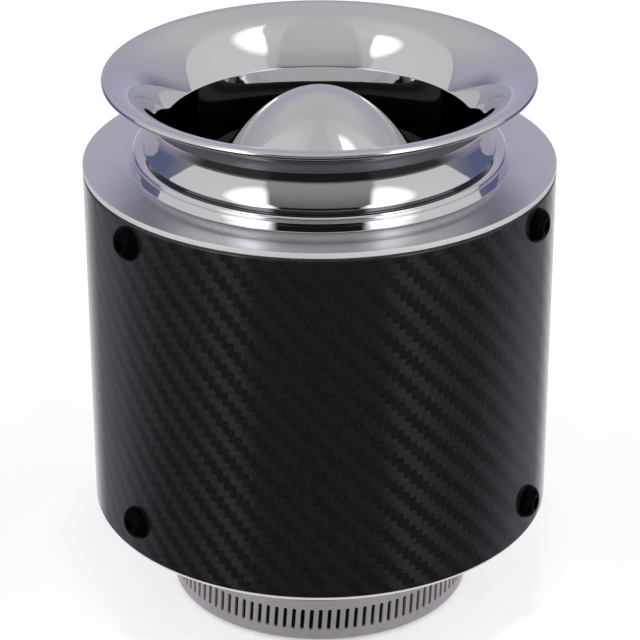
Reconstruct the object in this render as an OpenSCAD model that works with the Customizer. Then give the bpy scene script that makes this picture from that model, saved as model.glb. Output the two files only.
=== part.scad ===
// Canister air filter: a cone filter inside a carbon tube, fed through a polished trumpet.
// Millimetres, +Z up. The origin is on the axis, at the outlet end that the filter stands on.

/* [Carbon tube] */
// Outside diameter of the tube
shell_od = 130; // [126:0.5:140]
// Wall thickness of the tube
shell_wall = 2; // [1.5:0.1:3]
// Length of the tube
shell_len = 100.3; // [90:0.1:130]
// Bevel on the outer corner of each end of the tube
shell_bevel = 0.45; // [0.2:0.05:0.8]

/* [Lid] */
// Thickness of the lid where its edge shows
lid_edge_t = 1.5; // [1.2:0.1:2.5]
// Thickness of the lid inside the tube
lid_plate_t = 3; // [2.5:0.1:3.5]
// Height of the shadow line between the lid's edge and the tube
lid_gap = 0.45; // [0.3:0.05:0.8]
// Depth of the shadow line
lid_gap_depth = 0.8; // [0.5:0.05:1.2]
// Length of the lid's skirt inside the tube
lid_skirt_len = 12; // [10:0.5:16]
// Width of the flat ring from the tube's outside to the raised collar
lid_land = 12.6; // [10:0.1:14]
// Height of the collar's side above the lid
collar_side_h = 2.7; // [1.5:0.1:4]
// Rise of the collar's crowned top from its side to the trumpet
collar_crown_h = 1.8; // [1:0.1:3]

/* [Trumpet] */
// Width from the collar's side to the bore of the throat
throat_inset = 9.9; // [9:0.1:11]
// Thickness of the neck's wall at its waist
trumpet_wall = 4.8; // [4.7:0.1:5.4]
// Straight height of the neck's waist, between its foot and the bell
neck_straight = 0.8; // [0.2:0.1:2]
// Width of the flare from the throat to the outside of the rolled lip
flare_w = 16.7; // [14:0.1:18]
// Thickness of the rolled lip
lip_t = 2; // [1.6:0.1:3]
// Height of the bell above the waist
bell_h = 11.55; // [9:0.05:14]
// How far the throat's edge lies below the waist's top
throat_drop = 3.1; // [2:0.1:5]
// How far the foot of the neck spreads over the collar
neck_foot = 1.8; // [1:0.1:2.4]
// Height of the curve at the foot of the neck
neck_foot_h = 7.7; // [5:0.1:9]
// Length of the threaded spigot below the collar's top
spigot_len = 13.6; // [12.5:0.1:16]
// Thickness of the spigot's wall
spigot_wall = 4.5; // [4:0.1:4.6]

/* [Lock ring] */
// Width of the lock ring outside the spigot
lock_ring_w = 5.5; // [4:0.1:6.5]
// Thickness of the lock ring
lock_ring_t = 4.5; // [3:0.1:5]
// Number of spanner notches
lock_notches = 6; // [4:1:8]
// Width of a spanner notch
lock_notch_w = 4; // [3:0.5:6]

/* [Base plate] */
// Distance that the base plate's edge stands in from the tube's outside
plate_inset = 0.6; // [0.1:0.1:1.4]
// Height of the base plate's edge below the tube
plate_edge_t = 1.05; // [0.8:0.05:2]
// Thickness of the base plate
plate_t = 2.5; // [2:0.1:4]
// Rounding of the base plate's lower corner
plate_round = 0.5; // [0.3:0.05:0.7]
// Length of the base plate's skirt inside the tube
plate_skirt_len = 14; // [13:0.5:18]

/* [Skirts and screws] */
// Wall of both skirts
skirt_wall = 4; // [3:0.1:5]
// Gap between the skirts and the tube
skirt_gap = 0.15; // [0.1:0.05:0.3]
// Height of the upper screws below the end of the tube
upper_screw_drop = 6; // [5.5:0.1:7]
// Height of the lower screws above the end of the tube
lower_screw_rise = 9.75; // [8:0.05:11]
// Turn of the screw on the left of the front
screw_left = 51; // [45:1:60]
// Turn of the screw on the right of the front
screw_right = 63; // [45:1:65]
// Thread diameter of the screws
screw_d = 5; // [4:0.5:5]
// Head diameter of the screws
screw_head_d = 9.5; // [8:0.1:10]
// Head height of the screws
screw_head_h = 2.75; // [2:0.05:3]
// Shank length of the screws
screw_len = 7; // [6:0.5:8]
// Width across the flats of the screws' sockets
socket_af = 3.2; // [2.5:0.1:4]
// Depth of the screws' sockets
socket_depth = 1.7; // [1:0.1:2]
// Extra diameter of the tube's holes over the screws
hole_slack = 0.5; // [0.3:0.1:1]
// Gap between the modelled threads, all round
thread_gap = 0.05; // [0.02:0.01:0.1]

/* [Filter neck] */
// Bore of the neck
neck_bore_d = 76.2; // [70:0.1:78]
// Wall of the neck
neck_wall = 3.8; // [3:0.1:5]
// Length of the neck below the base plate
neck_len = 27.1; // [22:0.1:36]
// Gap between the neck and the base plate's hole
neck_gap = 0.15; // [0.1:0.05:0.3]
// Thickness of the bead under the base plate
neck_bead_t = 1.7; // [1:0.1:2.5]
// Height that the bead stands out from the neck
neck_bead_out = 1.5; // [0.8:0.1:2]
// Gap between the filter's base flange and the plate's skirt
flange_gap = 4.35; // [3:0.05:5.5]
// Height of the filter's base flange
flange_h = 9; // [8:0.5:12]
// Height inside the flange at which the pipe stops
stop_rise = 3; // [2:0.5:4]
// Wall between the pleats' seat and the opening above the stop
stop_wall = 6; // [4.5:0.1:7]

/* [Pleated cone] */
// Number of pleats
pleats = 44; // [36:1:52]
// Wall of the flange outside the pleats
seat_wall = 2.5; // [2:0.1:4]
// Wall of the top moulding outside the pleats
top_seat_wall = 3; // [2.5:0.1:5]
// Depth of the pleats at the base
pleat_depth = 8.4; // [6:0.1:8.6]
// Thickness of the gauze and its wire mesh
media_t = 1.1; // [0.8:0.1:1.4]
// Depth that the pleats sink into each end moulding
media_seat = 3; // [2:0.5:4]
// Gap round the pleats in their seats
media_gap = 0.3; // [0.2:0.05:0.5]

/* [Top moulding and nose cap] */
// Outside diameter of the filter's top moulding
top_cap_d = 66; // [64:0.5:70]
// Thickness of the filter's top moulding
top_cap_h = 8; // [7:0.5:10]
// Height of the moulded lip round the nose cap
top_lip_h = 1.2; // [1:0.1:1.5]
// Width of the moulding round the nose cap
nose_inset = 4.3; // [3:0.1:6]
// Height of the nose cap
nose_h = 22.4; // [18:0.2:26]
// Height of the nose cap's foot above the trumpet's spigot end
nose_rise = 6.25; // [4:0.1:8]
// Thickness of the nose cap's sheet
nose_t = 1; // [0.8:0.1:1.2]
// Width of the nose cap's flange inside the moulding
nose_flange = 1.5; // [1:0.1:2]
// Gap between the nose cap's flange and its groove
nose_gap = 0.15; // [0.1:0.05:0.25]

/* [Hose clamp] */
// Width of the band
band_w = 12.7; // [9:0.1:14]
// Thickness of the band
band_t = 0.8; // [0.6:0.05:1]
// Height of the band's lower edge above the neck's end
band_lift = 0.85; // [0.85:0.05:4]
// Gap between the band and the neck
band_gap = 0.03; // [0.01:0.01:0.1]
// Length of a slot
slot_len = 6.45; // [5:0.05:7.5]
// Width of a slot
slot_w = 0.92; // [0.7:0.02:1.2]
// Distance from slot to slot on the band's outside
slot_pitch = 2.52; // [2.2:0.02:3.5]
// Lean of the slots, tops to the right as seen from outside
slot_lean = 4; // [0:1:8]
// Length of band without slots, under the housing
blank_len = 22; // [20:1:30]
// Length of the band's free tail beyond the housing
tail_len = 14; // [8:1:20]
// Length of the housing along the band
housing_len = 13; // [11:0.5:16]
// Wall of the housing
housing_wall = 0.75; // [0.6:0.05:0.75]
// Gap between the band and the housing
housing_gap = 0.05; // [0.02:0.01:0.1]
// Diameter over the worm screw's thread
worm_d = 7; // [6:0.1:7.5]
// Depth of the worm screw's thread
worm_depth = 0.8; // [0.5:0.1:1]
// Number of thread turns on the worm screw
worm_turns = 4; // [3:1:5]
// Width across the flats of the worm screw's head
worm_head_af = 7; // [6:0.5:7]
// Length of the worm screw's head
worm_head_len = 5; // [4:0.5:6]
// Width of the screwdriver slot in the worm screw's head
driver_slot_w = 1.2; // [0.8:0.1:1.6]

/* [Hidden] */
fine = 96;
arc_steps = 18;
cut = 0.5;

// Radii
shell_r = shell_od / 2;
shell_ri = shell_r - shell_wall;
skirt_r = shell_ri - skirt_gap;
skirt_ri = skirt_r - skirt_wall;
collar_r = shell_r - lid_land;
throat_r = collar_r - throat_inset;
neck_out_r = throat_r + trumpet_wall;
foot_r = neck_out_r + neck_foot;
spigot_r = throat_r + spigot_wall;
lip_r = lip_t / 2;
lip_centre_r = throat_r + flare_w - lip_r;
bore_r = neck_bore_d / 2;
neck_r = bore_r + neck_wall;
flange_r = skirt_ri - flange_gap;

// Heights
plate_z = neck_len;
shell_z0 = plate_z + plate_edge_t;
shell_z1 = shell_z0 + shell_len;
lid_top_z = shell_z1 + lid_gap + lid_edge_t;
lid_under_z = lid_top_z - lid_plate_t;
collar_side_z = lid_top_z + collar_side_h;
collar_top_z = collar_side_z + collar_crown_h;
waist_z = collar_top_z + neck_foot_h + neck_straight;
throat_top_z = waist_z - throat_drop;
mouth_z = waist_z + bell_h;
spigot_z = collar_top_z - spigot_len;
plate_top_z = plate_z + plate_t;
upper_screw_z = shell_z1 - upper_screw_drop;
lower_screw_z = shell_z0 + lower_screw_rise;
screw_rear = (screw_left + screw_right) / 2;

// Cone filter
flange_z = plate_top_z + flange_h;
media_z0 = flange_z - media_seat;
nose_z = spigot_z + nose_rise;
top_cap_z = nose_z - top_cap_h;
media_z1 = top_cap_z + media_seat;
top_cap_r = top_cap_d / 2;
media_base_r = flange_r - seat_wall;
media_top_r = top_cap_r - top_seat_wall;
media_inner_r = media_base_r - pleat_depth;
media_taper = media_top_r / media_base_r;
media_slope = (media_base_r - media_top_r) / (media_z1 - media_z0);
nose_r = top_cap_r - nose_inset;
nose_focus = nose_r * nose_r / nose_h;

// Hose clamp
band_ri = neck_r + band_gap;
band_r = band_ri + band_t;
lap_ri = band_r + housing_gap;
lap_r = lap_ri + band_t;
band_z = band_lift + band_w / 2;
slot_step = slot_pitch / band_r * 180 / PI;
blank_turn = blank_len / band_r * 180 / PI;
slot_count = floor((360 - blank_turn) / slot_step);
half_house = housing_len / 2 / band_r * 180 / PI;
tail_turn = (housing_len / 2 + tail_len) / band_r * 180 / PI;
ramp_turn = 6;
top_edge_round = 1;
worm_r = worm_d / 2;
worm_core_r = worm_r - worm_depth;
worm_y = lap_r + housing_gap + worm_r;
worm_run_in = 0.6;
worm_pitch = (housing_len - 2 * housing_wall - 2 * worm_run_in) / worm_turns;

function arc(cr, cz, ar, az, from, to, n = arc_steps) =
    [for (i = [0 : n]) let (t = from + (to - from) * i / n) [cr + ar * cos(t), cz + az * sin(t)]];

// One-piece turned trumpet: bell, rolled lip, waisted neck and threaded spigot
module trumpet() {
    flare_turn = 30;
    flare_a = (lip_centre_r - throat_r) / sin(flare_turn);
    flare_b = (mouth_z - throat_top_z) / (1 - cos(flare_turn));
    outer = arc(lip_centre_r, waist_z, lip_centre_r - neck_out_r, bell_h - 0.6 * lip_t, 180, 96);
    inner = arc(lip_centre_r, mouth_z - flare_b, flare_a, flare_b, 90, 90 + flare_turn);
    foot = arc(foot_r, collar_top_z + neck_foot_h, neck_foot, neck_foot_h, 270, 180, 12);
    color("silver")
    rotate_extrude($fn = fine)
    union() {
        polygon(concat(
            [[throat_r, spigot_z], [spigot_r, spigot_z], [spigot_r, collar_top_z]],
            foot, outer, inner));
        translate([lip_centre_r, mouth_z - lip_r])
        circle(r = lip_r, $fn = 24);
    }
}

// Turned lid: flat disc on the tube's end, raised collar, skirt that takes the upper screws
module top_lid() {
    seat_r = shell_r - lid_gap_depth;
    corner = 0.25;
    crown = arc(foot_r, collar_side_z, collar_r - foot_r, collar_crown_h, 90, 0, 8);
    color("gainsboro")
    difference() {
        rotate_extrude($fn = fine)
        polygon(concat(
            [[spigot_r + thread_gap, lid_under_z], [skirt_ri, lid_under_z],
             [skirt_ri, shell_z1 - lid_skirt_len], [skirt_r, shell_z1 - lid_skirt_len],
             [skirt_r, shell_z1], [seat_r, shell_z1], [seat_r, shell_z1 + lid_gap],
             [shell_r - corner, shell_z1 + lid_gap], [shell_r, shell_z1 + lid_gap + corner],
             [shell_r, lid_top_z - corner], [shell_r - corner, lid_top_z],
             [collar_r, lid_top_z]],
            [for (i = [8 : -1 : 0]) crown[i]],
            [[spigot_r + thread_gap, collar_top_z]]));
        screw_holes(upper_screw_z, screw_d + 2 * thread_gap);
    }
}

// Notched ring nut that draws the trumpet down on the lid from inside
module lock_ring() {
    ring_r = spigot_r + lock_ring_w;
    low_z = lid_under_z - lock_ring_t;
    notch_depth = 1.6;
    bevel = 0.5;
    color("darkgray")
    difference() {
        rotate_extrude($fn = fine)
        polygon([[spigot_r + thread_gap, low_z], [ring_r - bevel, low_z], [ring_r, low_z + bevel],
            [ring_r, lid_under_z], [spigot_r + thread_gap, lid_under_z]]);
        for (i = [0 : lock_notches - 1])
            rotate([0, 0, i * 360 / lock_notches])
            translate([ring_r - notch_depth, -lock_notch_w / 2, low_z - cut])
            cube([notch_depth + cut, lock_notch_w, lock_ring_t + 2 * cut]);
    }
}

// Wound carbon tube with six clearance holes
module carbon_shell() {
    color([0.09, 0.09, 0.1])
    difference() {
        rotate_extrude($fn = fine)
        polygon([[shell_ri, shell_z0], [shell_r - shell_bevel, shell_z0],
            [shell_r, shell_z0 + shell_bevel], [shell_r, shell_z1 - shell_bevel],
            [shell_r - shell_bevel, shell_z1], [shell_ri, shell_z1]]);
        screw_holes(upper_screw_z, screw_d + hole_slack);
        screw_holes(lower_screw_z, screw_d + hole_slack);
    }
}

// Turned base plate that closes the tube and holds the filter's neck
module base_plate() {
    edge_r = shell_r - plate_inset;
    hole_r = neck_r + neck_gap;
    color("gainsboro")
    difference() {
        rotate_extrude($fn = fine)
        polygon(concat(
            [[hole_r, plate_z]],
            arc(edge_r - plate_round, plate_z + plate_round, plate_round, plate_round, 270, 360, 6),
            [[edge_r, shell_z0], [skirt_r, shell_z0],
             [skirt_r, plate_top_z + plate_skirt_len], [skirt_ri, plate_top_z + plate_skirt_len],
             [skirt_ri, plate_top_z], [hole_r, plate_top_z]]));
        screw_holes(lower_screw_z, screw_d + 2 * thread_gap);
    }
}

// Places its children at one screw: +Z of the child points out of the tube
module at_screw(turn, z) {
    rotate([0, 0, turn])
    translate([0, -shell_r, z])
    rotate([90, 0, 0])
    children();
}

// Radial holes for one ring of three screws
module screw_holes(z, d) {
    for (turn = [-screw_left, screw_right, 180 - screw_left + screw_rear])
        at_screw(turn, z)
        translate([0, 0, -(shell_r - skirt_ri) - 1])
        cylinder(h = shell_r - skirt_ri + 3, d = d, $fn = 32);
}

// Button-head screw with a hexagon socket
module button_screw() {
    head_r = screw_head_d / 2;
    top_r = 1.9;
    lift = 0.02;
    tip_bevel = 0.4;
    color([0.07, 0.07, 0.08])
    difference() {
        rotate_extrude($fn = 48)
        polygon(concat(
            [[0, lift - screw_len], [screw_d / 2 - tip_bevel, lift - screw_len],
             [screw_d / 2, lift - screw_len + tip_bevel], [screw_d / 2, lift], [head_r, lift]],
            arc(top_r, lift, head_r - top_r, screw_head_h, 8, 90, 8),
            [[0, screw_head_h + lift]]));
        translate([0, 0, screw_head_h + lift - socket_depth])
        cylinder(h = socket_depth + cut, d = socket_af / cos(30), $fn = 6);
    }
}

module upper_screw_left() { at_screw(-screw_left, upper_screw_z) button_screw(); }
module upper_screw_right() { at_screw(screw_right, upper_screw_z) button_screw(); }
module upper_screw_rear() { at_screw(180 - screw_left + screw_rear, upper_screw_z) button_screw(); }
module lower_screw_left() { at_screw(-screw_left, lower_screw_z) button_screw(); }
module lower_screw_right() { at_screw(screw_right, lower_screw_z) button_screw(); }
module lower_screw_rear() { at_screw(180 - screw_left + screw_rear, lower_screw_z) button_screw(); }

// Half-outline of the nose cap: a parabola lowered by drop
function nose_curve(drop, last_r, n = arc_steps) =
    [for (i = [0 : n]) let (r = last_r * i / n) [r, nose_z + nose_h - drop - r * r / nose_focus]];

// Spun bullet-shaped cap, held by its flange in the filter's top moulding
module nose_cap() {
    inner_r = nose_r - nose_t;
    crown_t = nose_t + 0.3;
    outer = nose_curve(0, nose_r);
    inner = nose_curve(crown_t, inner_r);
    color("silver")
    rotate_extrude($fn = fine)
    polygon(concat(
        outer,
        [[nose_r + nose_flange, nose_z], [nose_r + nose_flange, nose_z - nose_t],
         [inner_r, nose_z - nose_t]],
        [for (i = [arc_steps : -1 : 0]) inner[i]]));
}

// Moulded top of the filter: grips the nose cap above and the pleats below
module filter_top() {
    groove_r = nose_r + nose_flange + nose_gap;
    floor_z = nose_z - nose_t;
    lip_r_in = nose_r + nose_gap;
    seat_out = media_top_r + media_slope * media_seat + media_gap;
    seat_in = (media_inner_r * media_taper) - media_gap;
    round_r = top_edge_round;
    color([0.1, 0.1, 0.1])
    rotate_extrude($fn = fine)
    polygon(concat(
        [[0, top_cap_z], [seat_in, top_cap_z], [seat_in, media_z1], [seat_out, media_z1],
         [seat_out, top_cap_z], [top_cap_r, top_cap_z]],
        arc(top_cap_r - round_r, nose_z + top_lip_h - round_r, round_r, round_r, 0, 90, 5),
        [[lip_r_in, nose_z + top_lip_h], [lip_r_in, nose_z], [groove_r, nose_z],
         [groove_r, floor_z], [0, floor_z]]));
}

// Zigzag outline with its tips on one radius and its valleys on another
function zigzag(tip_r, valley_r) =
    [for (i = [0 : 2 * pleats - 1])
        let (a = i * 180 / pleats, r = i % 2 == 0 ? tip_r : valley_r) [r * cos(a), r * sin(a)]];

// Pleated gauze cone
module filter_media() {
    half_pitch = PI * (media_base_r + media_inner_r) / 2 / pleats;
    radial_t = media_t * sqrt(1 + pow(pleat_depth / half_pitch, 2));
    color([0.16, 0.05, 0.05])
    translate([0, 0, media_z0])
    linear_extrude(height = media_z1 - media_z0, scale = media_taper)
    difference() {
        polygon(zigzag(media_base_r, media_inner_r + radial_t));
        polygon(zigzag(media_base_r - radial_t, media_inner_r));
    }
}

// One-piece moulded base and neck of the filter
module filter_neck() {
    seat_out = media_base_r + media_gap;
    seat_in = media_inner_r - media_slope * media_seat - media_gap;
    opening_r = seat_in - stop_wall;
    stop_z = plate_top_z + stop_rise;
    end_round = 1;
    bead_slope = 0.5;
    color([0.08, 0.08, 0.08])
    rotate_extrude($fn = fine)
    polygon(concat(
        [[bore_r, 0]],
        arc(neck_r - end_round, end_round, end_round, end_round, 270, 360, 6),
        [[neck_r, plate_z - neck_bead_t],
         [neck_r + neck_bead_out, plate_z - neck_bead_t + bead_slope],
         [neck_r + neck_bead_out, plate_z], [neck_r, plate_z], [neck_r, plate_top_z],
         [flange_r, plate_top_z]],
        arc(flange_r - top_edge_round, flange_z - top_edge_round, top_edge_round, top_edge_round, 0, 90, 5),
        [[seat_out, flange_z], [seat_out, media_z0], [seat_in, media_z0], [seat_in, flange_z],
         [opening_r, flange_z], [opening_r, stop_z], [bore_r, stop_z]]));
}

// A stretch of plain band, from one turn to another, at inner radius r
module band_arc(r, from, to) {
    rotate([0, 0, from])
    rotate_extrude(angle = to - from, $fn = fine)
    translate([r, band_lift])
    square([band_t, band_w]);
}

// Slotted band: it starts under the housing, goes round the neck and leaves over its own start
module clamp_band() {
    start = 90 - half_house;
    color([0.7, 0.69, 0.71])
    difference() {
        union() {
            band_arc(band_ri, start, start + 360 - ramp_turn);
            band_ramp(start + 360 - ramp_turn);
            band_arc(lap_ri, start, start + half_house + tail_turn);
        }
        for (i = [0 : slot_count - 1])
            rotate([0, 0, 270 - (slot_count - 1) * slot_step / 2 + i * slot_step])
            band_slot();
    }
}

// Short slope that lifts the band on to its own start
module band_ramp(from) {
    a = from - 0.01;
    b = from + ramp_turn + 0.01;
    translate([0, 0, band_lift])
    linear_extrude(height = band_w)
    polygon([
        [band_ri * cos(a), band_ri * sin(a)], [band_r * cos(a), band_r * sin(a)],
        [lap_r * cos(b), lap_r * sin(b)], [lap_ri * cos(b), lap_ri * sin(b)]]);
}

// One round-ended slot, cut along +X
module band_slot() {
    straight = slot_len - slot_w;
    translate([band_ri - cut, 0, band_z])
    rotate([-slot_lean, 0, 0])
    union() {
        translate([0, -slot_w / 2, -straight / 2])
        cube([band_t + 2 * cut, slot_w, straight]);
        for (side = [-1, 1])
            translate([0, 0, side * straight / 2])
            rotate([0, 90, 0])
            cylinder(h = band_t + 2 * cut, d = slot_w, $fn = 16);
    }
}

// Pressed housing over the band, with a tunnel for the worm screw
module clamp_housing() {
    inner_y = lap_r + housing_gap;
    tunnel_r = worm_r + housing_gap;
    tunnel_out = tunnel_r + housing_wall;
    leg_z = band_w / 2 + housing_gap;
    leg_y = band_ri + 0.2;
    wide = 2 * (leg_z + housing_wall);
    color([0.72, 0.72, 0.74])
    translate([0, 0, band_z])
    difference() {
        union() {
            translate([-housing_len / 2, inner_y, -wide / 2])
            cube([housing_len, housing_wall, wide]);
            translate([-housing_len / 2, inner_y, -tunnel_out])
            cube([housing_len, worm_y - inner_y, 2 * tunnel_out]);
            translate([-housing_len / 2, worm_y, 0])
            rotate([0, 90, 0])
            cylinder(h = housing_len, r = tunnel_out, $fn = 64);
            for (z = [-leg_z - housing_wall, leg_z])
                translate([-housing_len / 2, leg_y, z])
                cube([housing_len, inner_y + housing_wall - leg_y, housing_wall]);
        }
        translate([-housing_len / 2 - cut, leg_y - cut, -leg_z])
        cube([housing_len + 2 * cut, inner_y - leg_y + cut, 2 * leg_z]);
        translate([-housing_len / 2 - cut, worm_y, 0])
        rotate([0, 90, 0])
        cylinder(h = housing_len + 2 * cut, r = tunnel_r, $fn = 64);
        translate([-housing_len / 2 + housing_wall, inner_y - cut, -worm_r])
        cube([housing_len - 2 * housing_wall, worm_y - inner_y + cut, 2 * worm_r]);
    }
}

// Worm screw: ridged shank in the tunnel and a slotted hexagon head outside it
module clamp_screw() {
    ridge = worm_pitch / 2;
    sink = 0.2;
    root_r = worm_core_r - sink;
    collar_gap = 0.1;
    collar_t = 0.9;
    collar_out = 0.35;
    head_x = housing_len + collar_gap + collar_t;
    driver_slot_depth = 2;
    color([0.62, 0.62, 0.66])
    translate([-housing_len / 2, worm_y, band_z])
    rotate([0, 90, 0])
    difference() {
        union() {
            cylinder(h = head_x, r = worm_core_r, $fn = 48);
            for (i = [0 : worm_turns - 1])
                translate([0, 0, housing_wall + worm_run_in + i * worm_pitch])
                rotate_extrude($fn = 48)
                polygon([[root_r, 0], [worm_r, ridge * 0.35], [worm_r, ridge * 0.75],
                    [root_r, ridge * 1.2]]);
            translate([0, 0, housing_len + collar_gap])
            cylinder(h = collar_t, r = worm_r + collar_out, $fn = 48);
            translate([0, 0, head_x])
            cylinder(h = worm_head_len, d = worm_head_af / cos(30), $fn = 6);
        }
        translate([-worm_head_af, -driver_slot_w / 2, head_x + worm_head_len - driver_slot_depth])
        cube([2 * worm_head_af, driver_slot_w, driver_slot_depth + cut]);
    }
}

trumpet();
top_lid();
lock_ring();
carbon_shell();
base_plate();
upper_screw_left();
upper_screw_right();
upper_screw_rear();
lower_screw_left();
lower_screw_right();
lower_screw_rear();
nose_cap();
filter_top();
filter_media();
filter_neck();
clamp_band();
clamp_housing();
clamp_screw();
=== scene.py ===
import math

import bmesh
import bpy
from mathutils import Matrix, Vector


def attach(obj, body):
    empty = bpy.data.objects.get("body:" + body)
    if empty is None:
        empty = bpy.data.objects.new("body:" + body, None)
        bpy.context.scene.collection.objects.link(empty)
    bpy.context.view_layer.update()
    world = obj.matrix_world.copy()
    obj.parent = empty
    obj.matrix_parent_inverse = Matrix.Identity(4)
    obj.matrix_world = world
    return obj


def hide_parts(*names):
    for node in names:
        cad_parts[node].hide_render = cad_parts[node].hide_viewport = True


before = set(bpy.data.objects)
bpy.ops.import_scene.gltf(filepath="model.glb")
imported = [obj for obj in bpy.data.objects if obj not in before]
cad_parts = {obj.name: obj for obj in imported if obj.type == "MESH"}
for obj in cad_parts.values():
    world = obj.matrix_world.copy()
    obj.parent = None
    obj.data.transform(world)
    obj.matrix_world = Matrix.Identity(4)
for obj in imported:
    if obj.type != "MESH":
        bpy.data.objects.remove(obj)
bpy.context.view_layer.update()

# Camera: a long lens three quarters of a metre from the filter, looking 26 degrees down at the
# middle of the carbon tube, as the photographer stood.
sensor_width, lens = 36, 149.06
camera_place = (0.00004, -0.6744, 0.4091)
camera_lean, camera_roll = 63.99, -0.086
scene = bpy.context.scene
camera_data = bpy.data.cameras.new("camera")
camera_data.sensor_width = sensor_width
camera_data.lens = lens
camera = bpy.data.objects.new("camera", camera_data)
scene.collection.objects.link(camera)
camera.matrix_world = (
    Matrix.Translation(camera_place)
    @ Matrix.Rotation(math.radians(camera_lean), 4, "X")
    @ Matrix.Rotation(math.radians(camera_roll), 4, "Z")
)
scene.camera = camera
scene.view_settings.view_transform = "Standard"


# Room: what the polished pieces mirror. A wall stands behind the camera, over a dark table edge,
# then come lighter side walls, bluish corners, and pale paper behind the filter. On each side of
# the camera there are a pale softbox and two brighter lamps.
def link(tree, values, node):
    """Gives a node its inputs: a socket is joined to it, and anything else is set on it."""
    for key, value in values.items():
        if isinstance(value, bpy.types.NodeSocket):
            tree.links.new(value, node.inputs[key])
        else:
            node.inputs[key].default_value = value
    return node


def add(tree, kind, values=None, **settings):
    """A new shader node with its settings and inputs."""
    node = tree.nodes.new("ShaderNode" + kind)
    for key, value in settings.items():
        setattr(node, key, value)
    return link(tree, values or {}, node)


def calc(tree, operation, *values):
    """The output of a math node."""
    return add(tree, "Math", dict(enumerate(values)), operation=operation).outputs[0]


def mixed(tree, factor, first, second, **settings):
    """The colour output of a mix of two colours."""
    mix = add(tree, "Mix", {"Factor": factor, 6: first, 7: second}, data_type="RGBA", **settings)
    return mix.outputs[2]


def ramp(tree, factor, stops):
    """The colour output of a colour ramp with the stops (position, grey or colour)."""
    node = add(tree, "ValToRGB", {"Fac": factor})
    points = node.color_ramp.elements
    while len(points) < len(stops):
        points.new(0.5)
    for point, (position, tone) in zip(points, stops):
        colour = (tone, tone, tone) if isinstance(tone, float) else tone
        point.position = position
        point.color = (*colour, 1)
    return node.outputs["Color"]


world = bpy.data.worlds.new("room")
scene.world = world
world.use_nodes = True
tree = world.node_tree
way = add(tree, "SeparateXYZ", {0: add(tree, "TexCoord").outputs["Generated"]}).outputs
to_camera = calc(tree, "MULTIPLY", way[1], -1.0)
to_degrees = 180 / math.pi
rise = calc(tree, "MULTIPLY", calc(tree, "ARCSINE", way[2]), to_degrees)
turn = calc(tree, "MULTIPLY", calc(tree, "ARCTAN2", way[0], to_camera), to_degrees)
aside = calc(tree, "ABSOLUTE", turn)
rise_place = calc(tree, "MULTIPLY_ADD", rise, 1 / 180, 0.5)


def by_rise(stops):
    """A ramp over the elevation in degrees, from -90 straight down to 90 straight up."""
    return ramp(tree, rise_place, [(degrees / 180 + 0.5, colour) for degrees, colour in stops])


camera_wall = by_rise([
    (-90, 0.012), (-22.5, 0.012), (-20, 0.28), (-8, 0.24), (4, 0.17), (18, 0.12),
    (20, 0.008), (28.5, 0.008), (33, 0.36), (45, 0.48), (70, 0.52), (90, 0.48)])
side_wall = by_rise([
    (-90, 0.03), (-22.5, 0.03), (-20, 0.24), (20, 0.24), (34, 0.50), (55, 0.60), (90, 0.5)])
blue_corner = by_rise([
    (-90, (0.32, 0.29, 0.34)), (-24, (0.32, 0.29, 0.34)), (-19, (0.10, 0.12, 0.22)),
    (6, (0.10, 0.12, 0.22)), (16, (0.40, 0.39, 0.46)), (45, 0.52), (90, 0.48)])
paper_wall = by_rise([
    (-90, (0.9, 0.86, 0.92)), (-10, 0.8), (5, (0.42, 0.42, 0.54)), (22, (0.40, 0.39, 0.47)),
    (45, 0.5), (90, 0.48)])
# Each wall takes over from the last between two turns away from the camera, in degrees.
walls = camera_wall
for next_wall, start, stop in (
        (side_wall, 30.6, 36.0), (blue_corner, 82.8, 115.2), (paper_wall, 140.4, 158.4)):
    reached = add(tree, "MapRange", {"Value": aside, "From Min": start, "From Max": stop}).outputs[0]
    walls = mixed(tree, reached, walls, next_wall)

# The inner edge of the lamps on each side, as (elevation, turn from the camera) in degrees.
lamp_edges = ((-90, 33), (12, 33), (20, 28), (29, 28), (31, 38), (42, 41), (52, 47), (62, 57), (90, 70))
inner_edge = calc(tree, "MULTIPLY", by_rise([(height, edge / 180) for height, edge in lamp_edges]), 180.0)
fade_start, fade_end = -4.0, 5.0
table_edge = -20.5
above_table = calc(tree, "GREATER_THAN", rise, table_edge)
pale = [(0.0, 0.64), (0.97, 0.60), (1.0, 0.0)]
bright = [(0.0, 2.4), (0.5, 1.8), (1.0, 0.0)]


def glow(walls, side, place, size, stops):
    """Adds an oval lamp on one side of the camera. Its place and half size are degrees of turn
    and rise, and the stops give its brightness from the middle out. It fades at its inner edge,
    and the table hides its foot."""
    across = calc(tree, "DIVIDE", calc(tree, "MULTIPLY_ADD", turn, float(side), -place[0]), size[0])
    up = calc(tree, "DIVIDE", calc(tree, "SUBTRACT", rise, place[1]), size[1])
    out = calc(tree, "SQRT", calc(tree, "ADD", calc(tree, "MULTIPLY", across, across),
                                  calc(tree, "MULTIPLY", up, up)))
    past_edge = calc(tree, "SUBTRACT", calc(tree, "MULTIPLY", turn, float(side)), inner_edge)
    faded = add(tree, "MapRange", {"Value": past_edge, "From Min": fade_start, "From Max": fade_end},
                interpolation_type="SMOOTHSTEP").outputs[0]
    shown = calc(tree, "MULTIPLY", above_table, faded)
    light = mixed(tree, shown, (0, 0, 0, 1), ramp(tree, out, stops))
    return mixed(tree, 1.0, walls, light, blend_type="LIGHTEN")


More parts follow.
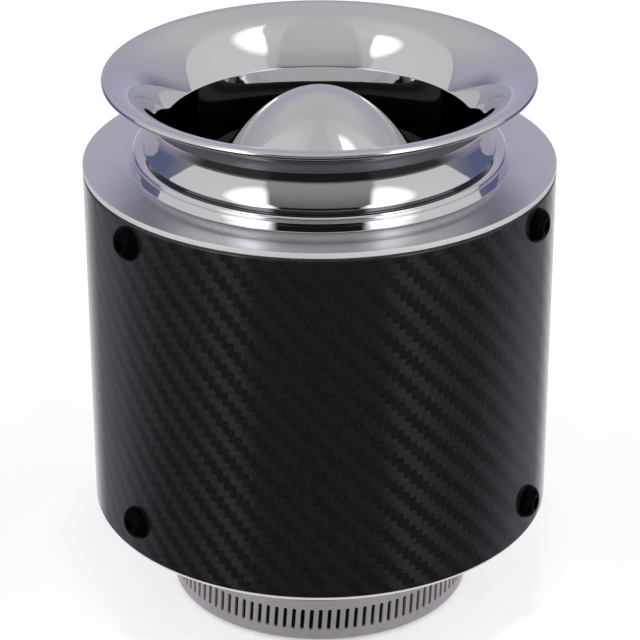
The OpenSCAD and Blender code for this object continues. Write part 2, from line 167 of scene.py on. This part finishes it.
for side, upper_place, upper_size in ((-1, (42.0, 46.0), (36.0, 13.0)), (1, (42.0, 54.0), (46.0, 21.0))):
    walls = glow(walls, side, (62.0, 19.0), (48.0, 50.0), pale)
    walls = glow(walls, side, (36.0, 6.0), (34.0, 26.0), bright)
    walls = glow(walls, side, upper_place, upper_size, bright)
seen = add(tree, "LightPath").outputs["Is Camera Ray"]
backdrop = mixed(tree, seen, walls, (0.97, 0.97, 0.97, 1))
link(tree, {"Color": backdrop, "Strength": 1.0}, tree.nodes["Background"])

# Top light: a small softbox above the filter, slightly in front of it. It lights the pieces, and
# they don't mirror it.
lamp_place, lamp_aim = Vector((0.02, -0.16, 1.3)), Vector((0, 0, 0.1))
top_light = bpy.data.lights.new("top_light", "AREA")
top_light.size = 0.16
top_light.energy = 2.0
top_lamp = bpy.data.objects.new("top_light", top_light)
top_lamp.location = lamp_place
top_lamp.rotation_euler = (lamp_place - lamp_aim).to_track_quat("Z", "Y").to_euler()
scene.collection.objects.link(top_lamp)
top_lamp.visible_glossy = False

# Floor: a seamless sheet of white paper, a hair below the neck that the filter stands on. The
# polished pieces don't mirror it.
floor_half, floor_drop = 3, 0.0003
bm = bmesh.new()
bmesh.ops.create_grid(bm, x_segments=1, y_segments=1, size=floor_half,
                      matrix=Matrix.Translation((0, 0, -floor_drop)))
floor_mesh = bpy.data.meshes.new("floor")
bm.to_mesh(floor_mesh)
bm.free()
floor = bpy.data.objects.new("floor", floor_mesh)
scene.collection.objects.link(floor)
floor.visible_glossy = False
paper = bpy.data.materials.new("white_paper")
paper.use_nodes = True
tree = paper.node_tree
grain = add(tree, "TexNoise", {"Vector": add(tree, "TexCoord").outputs["Object"], "Scale": 40.0})
tone = ramp(tree, grain.outputs["Fac"], [(0.3, (0.88, 0.88, 0.89)), (0.7, (0.91, 0.91, 0.91))])
link(tree, {"Base Color": tone, "Roughness": 0.9, "Specular IOR Level": 0.1,
            "Emission Color": (1, 1, 1, 1), "Emission Strength": 0.45}, tree.nodes["Principled BSDF"])
floor_mesh.materials.append(paper)

# Trumpet: a bell mouth turned in one piece from aluminium and polished. It has a rolled lip, a
# waisted neck and a straight throat, and a threaded spigot that goes down through the lid.
MM = 0.001
throat_r, throat_top = 42.5, 140.3
spigot_r, spigot_foot = 47.0, 121.3
collar_top = 134.9
neck_r, waist_top = 47.3, 143.4
foot_h, foot_radii = 7.7, (2.6, 8.89)
bell_h = 10.35
mouth_top = 154.95
lip_r, lip_place = 1.0, 58.2
flare_turn = 30
shade_low, shade_high = 144.7, 152.9
trumpet_corner = 0.15
fine_steps = 256


def bend(centre, radii, start, stop, steps):
    """Points (radius, height) in mm along part of an ellipse, between two angles in degrees."""
    angles = [math.radians(start + (stop - start) * i / steps) for i in range(steps + 1)]
    return [(centre[0] + radii[0] * math.cos(a), centre[1] + radii[1] * math.sin(a)) for a in angles]


def rounded(outline, size):
    """The closed outline with each sharp corner rounded, by less where its sides are short."""
    sharp_turn = math.radians(20)
    side_share = 0.45
    made = []
    for i, corner in enumerate(outline):
        before, here = Vector(outline[i - 1]), Vector(corner)
        after = Vector(outline[(i + 1) % len(outline)])
        if (here - before).angle(after - here) < sharp_turn:
            made.append(here)
            continue
        reach = min(size, side_share * (here - before).length, side_share * (after - here).length)
        start = here + (before - here).normalized() * reach
        end = here + (after - here).normalized() * reach
        for t in (0, 0.2, 0.4, 0.6, 0.8, 1):
            made.append(start * (1 - t) ** 2 + here * 2 * t * (1 - t) + end * t ** 2)
    return made


def turned(outline, steps=192):
    """A bmesh turned round the axis from a closed half-outline in mm. Long flats get an extra
    ring near each end, so that they stay flat in reflections."""
    long_flat = 1
    inset = 0.12
    points = []
    for a, b in zip(outline, list(outline[1:]) + [outline[0]]):
        a, b = Vector(a), Vector(b)
        points.append(a)
        if (b - a).length > long_flat:
            points += [a + (b - a).normalized() * inset, b - (b - a).normalized() * inset]
    bm = bmesh.new()
    verts = [bm.verts.new((p.x * MM, 0, p.y * MM)) for p in points]
    edges = [bm.edges.new(pair) for pair in zip(verts, verts[1:] + verts[:1])]
    bmesh.ops.spin(bm, geom=verts + edges, axis=(0, 0, 1), angle=2 * math.pi, steps=steps, use_merge=True)
    bmesh.ops.remove_doubles(bm, verts=bm.verts, dist=1e-8)
    return bm


def finished(name, bm, material, sharp=35):
    """Makes the piece from the bmesh, in place of the solid of the same name."""
    bmesh.ops.recalc_face_normals(bm, faces=bm.faces)
    mesh = bpy.data.meshes.new(name)
    bm.to_mesh(mesh)
    bm.free()
    mesh.shade_smooth()
    mesh.set_sharp_from_angle(angle=math.radians(sharp))
    mesh.materials.append(material)
    made = bpy.data.objects.new(name, mesh)
    scene.collection.objects.link(made)
    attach(made, "root")
    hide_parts(name)
    return made


def polished(name, tint, shine, marks, metal=1.0):
    """Turned and polished metal: faint rings round the axis, and a thin haze left by the mop."""
    material = bpy.data.materials.new(name)
    material.use_nodes = True
    tree = material.node_tree
    place = add(tree, "TexCoord").outputs["Object"]
    xyz = add(tree, "SeparateXYZ", {0: place}).outputs
    from_axis = calc(tree, "SQRT", calc(tree, "ADD", calc(tree, "MULTIPLY", xyz[0], xyz[0]),
                                        calc(tree, "MULTIPLY", xyz[1], xyz[1])))
    across = add(tree, "CombineXYZ", {"X": from_axis, "Z": xyz[2]}).outputs[0]
    rings = add(tree, "TexNoise", {"Vector": across, "Scale": 1800.0, "Detail": 2.0}).outputs["Fac"]
    haze = add(tree, "TexNoise", {"Vector": place, "Scale": 45.0, "Detail": 4.0}).outputs["Fac"]
    rough = add(tree, "MapRange", {"Value": haze, "From Min": 0.3, "From Max": 0.7,
                                   "To Min": shine, "To Max": shine * 1.8}).outputs[0]
    bump = add(tree, "Bump", {"Height": rings, "Strength": marks, "Distance": 0.00002}).outputs[0]
    colour = ramp(tree, haze, [(0.3, tint), (0.7, tuple(0.97 * c for c in tint))])
    link(tree, {"Base Color": colour, "Metallic": metal, "Roughness": rough, "Normal": bump},
         tree.nodes["Principled BSDF"])
    return material


mirror = polished("polished_aluminium", (0.84, 0.84, 0.86), 0.02, 0.08)
# A darker copy of the polish, painted shade for the faces under the trumpet's lip.
painted_shade_polish = polished("polished_aluminium", (0.15, 0.15, 0.165), 0.06, 0.2)
spigot = [(throat_r, spigot_foot), (spigot_r, spigot_foot), (spigot_r, collar_top)]
foot = bend((neck_r + foot_radii[0], collar_top + foot_h), foot_radii, 240, 180, 24)
outside = bend((lip_place, waist_top), (lip_place - neck_r, bell_h), 180, 97, 40)
lip = bend((lip_place, mouth_top - lip_r), (lip_r, lip_r), -100, 90, 20)
flare_w = (lip_place - throat_r) / math.sin(math.radians(flare_turn))
flare_h = (mouth_top - throat_top) / (1 - math.cos(math.radians(flare_turn)))
inside = bend((lip_place, mouth_top - flare_h), (flare_w, flare_h), 90, 90 + flare_turn, 60)[1:]
bm = turned(rounded(spigot + foot + outside + lip + inside, trumpet_corner), fine_steps)
trumpet = finished("trumpet", bm, mirror)
# Under the lip the metal is painted darker: a painted shade in place of the dark room the bell mirrors
# there.
trumpet.data.materials.append(painted_shade_polish)
for face in trumpet.data.polygons:
    height = face.center.z / MM
    faces_out = face.normal.xy.dot(face.center.xy) > 0
    faces_down = face.normal.z < -0.6
    if faces_out and shade_low < height < shade_high or faces_down and height > shade_low:
        face.material_index = 1

# Lid: turned from plate and polished, with a flat ring on the end of the tube and a raised,
# crowned collar. Its skirt inside the tube takes the three upper screws.
tube_r, tube_top = 65.0, 128.45
lid_bore, lid_low, lid_top = 47.05, 127.4, 130.4
skirt_in, skirt_out, upper_skirt_end = 58.85, 62.85, 116.45
shadow_line_r, shadow_line_top = 64.2, 128.9
collar_r = 52.4
crown_r, crown_w, crown_h = 48.6, 2.85, 1.8
lid_corner = 0.22
rim_edge, ring_edge = 0.2, 0.4
under_lid = [(lid_bore, lid_low), (skirt_in, lid_low), (skirt_in, upper_skirt_end),
             (skirt_out, upper_skirt_end), (skirt_out, tube_top)]
lid_rim = [(shadow_line_r, tube_top), (shadow_line_r, shadow_line_top), (tube_r, shadow_line_top),
           (tube_r, lid_top)]
# The collar's side leans in, with a fine groove under its crown.
collar_side = [(collar_r, lid_top), (51.78, 131.8), (51.45, 132.7), (51.1, 132.75), (51.1, 133.05)]
crown = bend((crown_r, collar_top - crown_h), (crown_w, crown_h), 0, 90, 16) + [(lid_bore, collar_top)]
satin = polished("polished_aluminium", (0.88, 0.87, 0.92), 0.24, 0.25)
bare = polished("polished_aluminium", (0.92, 0.92, 0.92), 0.4, 0.4, 0.4)
bm = turned(rounded(under_lid + lid_rim + collar_side + crown, lid_corner), fine_steps)
lid = finished("top_lid", bm, satin)
# The collar is polished bright, and the rim and all under it are left as turned.
lid.data.materials.append(mirror)
lid.data.materials.append(bare)
for face in lid.data.polygons:
    out = face.center.xy.length / MM
    if out < collar_r:
        face.material_index = 1
    elif out > tube_r - rim_edge or face.center.z / MM < lid_top - ring_edge:
        face.material_index = 2

# Nose cap: a bullet pressed from sheet and polished, held by its flange in the filter's top
# moulding. It stands in the throat and spreads the air round the cone.
nose_r, nose_h, nose_foot = 28.7, 22.4, 127.55
nose_wall, nose_in = 1.3, 27.7
nose_flange_r, nose_flange_low = 30.2, 126.55
nose_corner = 0.2


def bullet(drop, last, steps):
    """Half-outline of the bullet: a parabola, lowered by drop, from the axis to a radius."""
    return [(last * i / steps, nose_foot + nose_h * (1 - (last * i / steps / nose_r) ** 2) - drop)
            for i in range(steps + 1)]


nose_flange = [(nose_flange_r, nose_foot), (nose_flange_r, nose_flange_low), (nose_in, nose_flange_low)]
nose_outline = bullet(0, nose_r, 40) + nose_flange + bullet(nose_wall, nose_in, 24)[::-1]
finished("nose_cap", turned(rounded(nose_outline, nose_corner)), mirror)

# Carbon tube: 2 x 2 twill laid round a mandrel and lacquered. Tows 1.9 mm wide round the tube
# and 2.1 mm up it cross two over and two under.
tube_low, tube_wall, tube_bevel = 28.15, 2.0, 0.45
tows_round = 216
tow_h = 2.1


def twill_carbon():
    """Lacquered twill: each tow is crowned and shines across its fibres."""
    material = bpy.data.materials.new("carbon_weave")
    material.use_nodes = True
    tree = material.node_tree
    place = add(tree, "TexCoord").outputs["Object"]
    xyz = add(tree, "SeparateXYZ", {0: place}).outputs
    to_front = calc(tree, "MULTIPLY", xyz[1], -1.0)
    column = calc(tree, "MULTIPLY", calc(tree, "ARCTAN2", xyz[0], to_front), tows_round / (2 * math.pi))
    row = calc(tree, "DIVIDE", xyz[2], tow_h * MM)

    def tow(along, across, side):
        """Height of a tow: a wave over and under, and a crown from edge to edge."""
        step = calc(tree, "ADD", along, calc(tree, "FLOOR", across))
        wave = calc(tree, "SINE", calc(tree, "MULTIPLY", step, math.pi / 2))
        crown = calc(tree, "SINE", calc(tree, "MULTIPLY", calc(tree, "FRACT", across), math.pi))
        return calc(tree, "MULTIPLY_ADD", wave, side, calc(tree, "MULTIPLY", crown, 0.7))

    flat_tow = tow(column, row, 1.0)
    upright_tow = tow(row, column, -1.0)
    on_top = calc(tree, "GREATER_THAN", flat_tow, upright_tow)
    height = calc(tree, "MAXIMUM", flat_tow, upright_tow)
    drawn_out = add(tree, "Mapping", {"Vector": place, "Scale": (1, 1, 14)}).outputs[0]
    fibres = add(tree, "TexNoise", {"Vector": drawn_out, "Scale": 900.0, "Detail": 3.0}).outputs["Fac"]
    relief = calc(tree, "MULTIPLY_ADD", fibres, 0.25, height)
    bump = add(tree, "Bump", {"Height": relief, "Strength": 0.2, "Distance": 0.0001}).outputs[0]
    flecks = add(tree, "TexNoise", {"Vector": place, "Scale": 1300.0, "Detail": 2.0}).outputs["Fac"]
    flat_tone = ramp(tree, flecks, [(0.35, (0.0078, 0.0060, 0.0088)), (0.65, (0.0140, 0.0116, 0.0154))])
    upright_tone = ramp(tree, flecks, [(0.35, (0.0074, 0.0058, 0.0084)), (0.65, (0.0132, 0.0110, 0.0146))])
    colour = mixed(tree, on_top, upright_tone, flat_tone)
    round_way = add(tree, "CombineXYZ", {"X": to_front, "Y": xyz[0]}).outputs[0]
    tangent = add(tree, "Mix", {"Factor": on_top, 4: round_way, 5: (0.0, 0.0, 1.0)},
                  data_type="VECTOR").outputs[1]
    link(tree, {"Base Color": colour, "Specular IOR Level": 0.3, "Roughness": 0.37, "Anisotropic": 0.95,
                "Tangent": tangent, "Normal": bump, "Coat Weight": 1.0, "Coat Roughness": 0.02,
                "Coat IOR": 1.5}, tree.nodes["Principled BSDF"])
    return material


tube_in = tube_r - tube_wall
tube_outline = [(tube_in, tube_low), (tube_r, tube_low), (tube_r, tube_top), (tube_in, tube_top)]
bm = turned(rounded(tube_outline, tube_bevel), fine_steps)
finished("carbon_shell", bm, twill_carbon())

# Base plate: a turned plate that closes the tube below, with a rounded edge and a skirt for the
# three lower screws.
plate_r, plate_bore = 64.4, 42.05
plate_low, plate_top, plate_edge = 27.1, 29.6, 0.5
lower_skirt_end = 43.6
plate_corner = 0.12
fine_turned = polished("turned_aluminium", (0.95, 0.95, 0.96), 0.42, 0.5, 0.2)
plate_outline = [(plate_bore, plate_low)]
plate_outline += bend((plate_r - plate_edge, plate_low + plate_edge), (plate_edge, plate_edge), 270, 360, 8)
plate_outline += [(plate_r, tube_low), (skirt_out, tube_low), (skirt_out, lower_skirt_end),
                  (skirt_in, lower_skirt_end), (skirt_in, plate_top), (plate_bore, plate_top)]
bm = turned(rounded(plate_outline, plate_corner), fine_steps)
finished("base_plate", bm, fine_turned)


# Lock ring: a notched ring nut of turned aluminium on the trumpet's spigot. It draws the trumpet
# and the lid together from below, out of sight, and keeps the mesh of its solid.
def coat(node, material):
    """Gives the mesh of a solid its material."""
    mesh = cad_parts[node].data
    mesh.materials.clear()
    mesh.materials.append(material)


coat("lock_ring", fine_turned)


# Screws: six M5 button heads with hexagon sockets, in black oxide, three through the tube into
# each skirt.
def black_oxide():
    """Black oxide over turned steel, with a faint oily mottle."""
    material = bpy.data.materials.new("black_steel")
    material.use_nodes = True
    tree = material.node_tree
    place = add(tree, "TexCoord").outputs["Object"]
    mottle = add(tree, "TexNoise", {"Vector": place, "Scale": 900.0, "Detail": 3.0}).outputs["Fac"]
    colour = ramp(tree, mottle, [(0.35, (0.0006, 0.0006, 0.0006)), (0.7, (0.0016, 0.0016, 0.0016))])
    rough = add(tree, "MapRange", {"Value": mottle, "To Min": 0.25, "To Max": 0.45}).outputs[0]
    bump = add(tree, "Bump", {"Height": mottle, "Strength": 0.2, "Distance": 0.00005}).outputs[0]
    link(tree, {"Base Color": colour, "Roughness": rough, "Specular IOR Level": 0.03, "Normal": bump},
         tree.nodes["Principled BSDF"])
    return material


thread_r, tip_r, tip_bevel, shank = 2.5, 2.1, 0.4, 7.0
seat_r, seat_gap, head_h, head_flat_r = 4.6, 0.02, 2.75, 2.1
dome_place, dome_w, dome_start = 1.9, 2.85, 8
socket_r, socket_mouth, socket_depth, drill_cone = 1.6, 0.05, 1.7, 0.5


def button_screw(around, up):
    """One screw, pointing out of the tube at a turn from the front and a height in mm."""
    tip = seat_gap - shank
    dome = bend((dome_place, seat_gap), (dome_w, head_h), dome_start, 90, 10)[:-1]
    head_top = seat_gap + head_h
    shaft = [(0.0, tip), (tip_r, tip), (thread_r, tip + tip_bevel), (thread_r, seat_gap)]
    profile = shaft + [(seat_r, seat_gap)] + dome + [(head_flat_r, head_top)]
    bm = bmesh.new()
    verts = [bm.verts.new((r * MM, 0, z * MM)) for r, z in profile]
    edges = [bm.edges.new(pair) for pair in zip(verts, verts[1:])]
    bmesh.ops.spin(bm, geom=verts + edges, axis=(0, 0, 1), angle=2 * math.pi, steps=48, use_merge=True)
    bmesh.ops.remove_doubles(bm, verts=bm.verts, dist=1e-7)
    head_rim = [e for e in bm.edges if e.is_boundary]
    socket = bmesh.ops.create_circle(bm, segments=48, radius=socket_r * MM)["verts"]
    for v in socket:
        angle = math.atan2(v.co.y, v.co.x)
        reach = socket_r * MM / math.cos((angle % (math.pi / 3)) - math.pi / 6)
        v.co = Vector((reach * math.cos(angle), reach * math.sin(angle), (head_top - socket_mouth) * MM))
    loop = list({e for v in socket for e in v.link_edges})
    bmesh.ops.bridge_loops(bm, edges=head_rim + loop)
    wall = bmesh.ops.extrude_edge_only(bm, edges=loop)["geom"]
    low_verts = [g for g in wall if isinstance(g, bmesh.types.BMVert)]
    low_edges = [g for g in wall if isinstance(g, bmesh.types.BMEdge)]
    bmesh.ops.translate(bm, verts=low_verts, vec=(0, 0, -socket_depth * MM))
    socket_floor = bmesh.ops.contextual_create(bm, geom=low_edges)["faces"]
    middle = bmesh.ops.poke(bm, faces=socket_floor)["verts"]
    bmesh.ops.translate(bm, verts=middle, vec=(0, 0, -drill_cone * MM))
    on_tube = Matrix.Translation((0, -tube_r * MM, up * MM)) @ Matrix.Rotation(math.pi / 2, 4, "X")
    bmesh.ops.transform(bm, verts=bm.verts, matrix=Matrix.Rotation(math.radians(around), 4, "Z") @ on_tube)
    return bm


black_steel = black_oxide()
for ring, up in (("upper", 122.45), ("lower", 37.9)):
    for side, around in (("left", -51), ("right", 63), ("rear", 186)):
        finished(ring + "_screw_" + side, button_screw(around, up), black_steel, sharp=30)


# Filter mouldings: black rubber, poured round the ends of the pleats. The upper one holds the
# nose cap, with a thin lip round its foot, and the lower one is a flange and the neck in one.
def moulded_rubber():
    """Black rubber with a fine cast grain and a dusty bloom."""
    material = bpy.data.materials.new("moulded_rubber")
    material.use_nodes = True
    tree = material.node_tree
    place = add(tree, "TexCoord").outputs["Object"]
    grain = add(tree, "TexNoise", {"Vector": place, "Scale": 1500.0, "Detail": 3.0}).outputs["Fac"]
    bloom = add(tree, "TexNoise", {"Vector": place, "Scale": 60.0, "Detail": 4.0}).outputs["Fac"]
    colour = ramp(tree, bloom, [(0.35, (0.002, 0.002, 0.002)), (0.7, (0.005, 0.005, 0.005))])
    rough = add(tree, "MapRange", {"Value": grain, "To Min": 0.45, "To Max": 0.7}).outputs[0]
    bump = add(tree, "Bump", {"Height": grain, "Strength": 0.3, "Distance": 0.00006}).outputs[0]
    link(tree, {"Base Color": colour, "Roughness": rough, "Specular IOR Level": 0.15, "Normal": bump},
         tree.nodes["Principled BSDF"])
    return material


rubber = moulded_rubber()
media_low, media_high = 35.6, 122.55
cap_r, cap_low, cap_top, pinhole_r = 33.0, 119.55, 128.75, 0.01
cap_seat_in, cap_seat_out = 24.92, 31.06
nose_seat_r = 30.35
cap_corner, cap_steps = 0.5, 128
cap_under = [(pinhole_r, cap_low), (cap_seat_in, cap_low), (cap_seat_in, media_high),
             (cap_seat_out, media_high), (cap_seat_out, cap_low), (cap_r, cap_low)]
# The lip leans in over the foot of the nose cap.
cap_lip = [(cap_r, cap_top), (29.6, cap_top), (28.4, 130.2), (27.35, 130.4), (28.05, 128.9),
           (28.85, nose_foot)]
nose_seat = [(nose_seat_r, nose_foot), (nose_seat_r, nose_flange_low), (pinhole_r, nose_flange_low)]
bm = turned(rounded(cap_under + cap_lip + nose_seat, cap_corner), cap_steps)
finished("filter_top", bm, rubber)

hose_in, hose_out = 38.1, 41.9
bead_r, bead_low, bead_slope = 43.4, 25.4, 0.5
flange_r, flange_top = 54.5, 38.6
pleat_seat_in, pleat_seat_out = 42.54, 52.3
stop_r, stop_low = 36.54, 32.6
neck_corner, neck_steps = 0.8, 160
neck_outside = [(hose_in, 0.0), (hose_out, 0.0), (hose_out, bead_low), (bead_r, bead_low + bead_slope),
                (bead_r, plate_low), (hose_out, plate_low), (hose_out, plate_top)]
neck_flange = [(flange_r, plate_top), (flange_r, flange_top), (pleat_seat_out, flange_top),
               (pleat_seat_out, media_low), (pleat_seat_in, media_low), (pleat_seat_in, flange_top)]
pipe_stop = [(stop_r, flange_top), (stop_r, stop_low), (hose_in, stop_low)]
bm = turned(rounded(neck_outside + neck_flange + pipe_stop, neck_corner), neck_steps)
finished("filter_neck", bm, rubber)


# Pleats: cotton gauze between two wire meshes, folded into 44 pleats that narrow towards the top.
# Their ends are cast into the two mouldings.
def wired_gauze():
    """Dark oiled cotton under a fine woven wire. The pattern follows the folds."""
    material = bpy.data.materials.new("filter_gauze")
    material.use_nodes = True
    tree = material.node_tree
    uv = add(tree, "SeparateXYZ", {0: add(tree, "TexCoord").outputs["UV"]}).outputs
    waves = [calc(tree, "SINE", calc(tree, "MULTIPLY", axis, math.pi)) for axis in uv[:2]]
    lines = [calc(tree, "ABSOLUTE", wave) for wave in waves]
    wire = calc(tree, "LESS_THAN", calc(tree, "MINIMUM", *lines), 0.22)
    place = add(tree, "TexCoord").outputs["Object"]
    cotton = add(tree, "TexNoise", {"Vector": place, "Scale": 1200.0, "Detail": 4.0}).outputs["Fac"]
    cloth = ramp(tree, cotton, [(0.3, (0.006, 0.006, 0.006)), (0.7, (0.018, 0.017, 0.017))])
    colour = mixed(tree, wire, cloth, (0.10, 0.10, 0.11, 1))
    rough = calc(tree, "MULTIPLY_ADD", wire, -0.4, 0.85)
    relief = calc(tree, "MULTIPLY_ADD", cotton, 0.3, wire)
    bump = add(tree, "Bump", {"Height": relief, "Strength": 0.6, "Distance": 0.0002}).outputs[0]
    link(tree, {"Base Color": colour, "Metallic": calc(tree, "MULTIPLY", wire, 0.8), "Roughness": rough,
                "Normal": bump}, tree.nodes["Principled BSDF"])
    return material


pleats, fold_steps, fold_sharpness = 44, 10, 0.985
pleat_middle_r, pleat_half = 47.8, 3.6
top_share = 30 / 52
levels = 12
wires_per_pleat, wire_step = 14, 1.3
gauze_t = 1.1


def share_at(level):
    """Width of the cone at a level, as a share of its width at the foot."""
    return 1 - (1 - top_share) * level / levels


bm = bmesh.new()
ring = bmesh.ops.create_circle(bm, segments=pleats * fold_steps, radius=1)["verts"]
for i, v in enumerate(ring):
    fold = math.asin(fold_sharpness * math.cos(2 * math.pi * i / fold_steps)) / math.asin(fold_sharpness)
    v.co *= (pleat_middle_r + pleat_half * fold) * MM
    v.co.z = media_low * MM
loop = bm.edges[:]
for level in range(levels):
    made = bmesh.ops.extrude_edge_only(bm, edges=loop)["geom"]
    verts = [g for g in made if isinstance(g, bmesh.types.BMVert)]
    loop = [g for g in made if isinstance(g, bmesh.types.BMEdge)]
    bmesh.ops.translate(bm, verts=verts, vec=(0, 0, (media_high - media_low) / levels * MM))
    narrower = share_at(level + 1) / share_at(level)
    bmesh.ops.scale(bm, verts=verts, vec=(narrower, narrower, 1))
uv_layer = bm.loops.layers.uv.new("folds")
for face in bm.faces:
    turns = [math.atan2(l.vert.co.y, l.vert.co.x) / (2 * math.pi) % 1 for l in face.loops]
    for l, t in zip(face.loops, turns):
        if max(turns) - min(turns) > 0.5 and t < 0.5:
            t += 1
        l[uv_layer].uv = (t * pleats * wires_per_pleat, l.vert.co.z / MM / wire_step)
gauze = finished("filter_media", bm, wired_gauze(), sharp=60)
skin = gauze.modifiers.new("gauze_thickness", "SOLIDIFY")
skin.thickness = gauze_t * MM
skin.offset = 0


# Hose clamp: a slotted stainless band round the neck, with a pressed housing at the back whose
# worm screw bites in the slots. The housing and the screw keep the meshes of their solids.
def rolled_steel(name, tint, low, high, metal=1.0):
    """Cold-rolled steel with fine lines along the band and small scuffs."""
    material = bpy.data.materials.new(name)
    material.use_nodes = True
    tree = material.node_tree
    place = add(tree, "TexCoord").outputs["Object"]
    drawn_out = add(tree, "Mapping", {"Vector": place, "Scale": (1, 1, 40)}).outputs[0]
    lines = add(tree, "TexNoise", {"Vector": drawn_out, "Scale": 90.0, "Detail": 5.0}).outputs["Fac"]
    scuffs = add(tree, "TexNoise", {"Vector": place, "Scale": 160.0, "Detail": 6.0}).outputs["Fac"]
    wear = calc(tree, "ADD", lines, scuffs)
    rough = add(tree, "MapRange", {"Value": wear, "From Min": 0.6, "From Max": 1.4,
                                   "To Min": low, "To Max": high}).outputs[0]
    bump = add(tree, "Bump", {"Height": lines, "Strength": 0.25, "Distance": 0.00004}).outputs[0]
    colour = ramp(tree, scuffs, [(0.3, tint), (0.7, tuple(0.9 * c for c in tint))])
    link(tree, {"Base Color": colour, "Metallic": metal, "Roughness": rough, "Normal": bump},
         tree.nodes["Principled BSDF"])
    return material


clamp_steel = rolled_steel("clamp_steel", (0.82, 0.77, 0.79), 0.3, 0.45, 0.65)
plated_steel = rolled_steel("plated_steel", (0.60, 0.60, 0.62), 0.18, 0.35)
band_r, band_t = 41.93, 0.8
band_low, band_high = 0.85, 13.55
slots, slot_step = 97, 3.379
slot_w, slot_h, slot_lean = 1.12, 6.6, -4
plain_half = (360 - slots * slot_step) / 2
plain_steps = 12
flat_r = band_r + band_t
cell_w = math.radians(slot_step) * flat_r


def slot_cell():
    """One step of the band, flat and 1 unit wide for each mm, with a leaning round-ended slot."""
    cell = bmesh.new()
    corners = bmesh.ops.create_grid(cell, x_segments=1, y_segments=1, size=0.5)["verts"]
    bmesh.ops.scale(cell, verts=corners, vec=(cell_w, band_high - band_low, 1))
    bmesh.ops.delete(cell, geom=cell.faces[:], context="FACES_ONLY")
    bmesh.ops.subdivide_edges(cell, edges=cell.edges[:], cuts=5)
    outer = cell.edges[:]
    hole = bmesh.ops.create_circle(cell, segments=24, radius=slot_w / 2)["verts"]
    inner = list({e for v in hole for e in v.link_edges})
    for v in hole:
        v.co.y += math.copysign(slot_h / 2 - slot_w / 2, v.co.y)
    lean = Matrix.Rotation(math.radians(slot_lean), 3, "Z")
    bmesh.ops.rotate(cell, verts=hole, cent=(0, 0, 0), matrix=lean)
    bmesh.ops.bridge_loops(cell, edges=outer + inner)
    return cell


# The slotted length is laid out flat, gets a plain length at each end, and is bent to a ring.
bm = slot_cell()
pattern = bm.verts[:] + bm.edges[:] + bm.faces[:]
for i in range(1, slots):
    copy = bmesh.ops.duplicate(bm, geom=pattern)["geom"]
    verts = [g for g in copy if isinstance(g, bmesh.types.BMVert)]
    bmesh.ops.translate(bm, verts=verts, vec=(i * cell_w, 0, 0))
bmesh.ops.remove_doubles(bm, verts=bm.verts, dist=1e-3)
for end_x, way_x in ((-cell_w / 2, -1), ((slots - 0.5) * cell_w, 1)):
    loop = [e for e in bm.edges if e.is_boundary and all(abs(v.co.x - end_x) < 1e-3 for v in e.verts)]
    for _ in range(plain_steps):
        made = bmesh.ops.extrude_edge_only(bm, edges=loop)["geom"]
        loop = [g for g in made if isinstance(g, bmesh.types.BMEdge)]
        verts = [g for g in made if isinstance(g, bmesh.types.BMVert)]
        step_x = way_x * math.radians(plain_half / plain_steps) * flat_r
        bmesh.ops.translate(bm, verts=verts, vec=(step_x, 0, 0))
middle_x = (slots - 1) / 2 * cell_w
for v in bm.verts:
    around = (v.co.x - middle_x) / flat_r
    v.co = Vector((band_r * MM * math.sin(around), -band_r * MM * math.cos(around),
                   (v.co.y + (band_low + band_high) / 2) * MM))
bmesh.ops.remove_doubles(bm, verts=bm.verts, dist=1e-6)
bmesh.ops.recalc_face_normals(bm, faces=bm.faces)
bmesh.ops.solidify(bm, geom=bm.faces, thickness=-band_t * MM)
finished("clamp_band", bm, clamp_steel, sharp=40)
coat("clamp_housing", clamp_steel)
coat("clamp_screw", plated_steel)
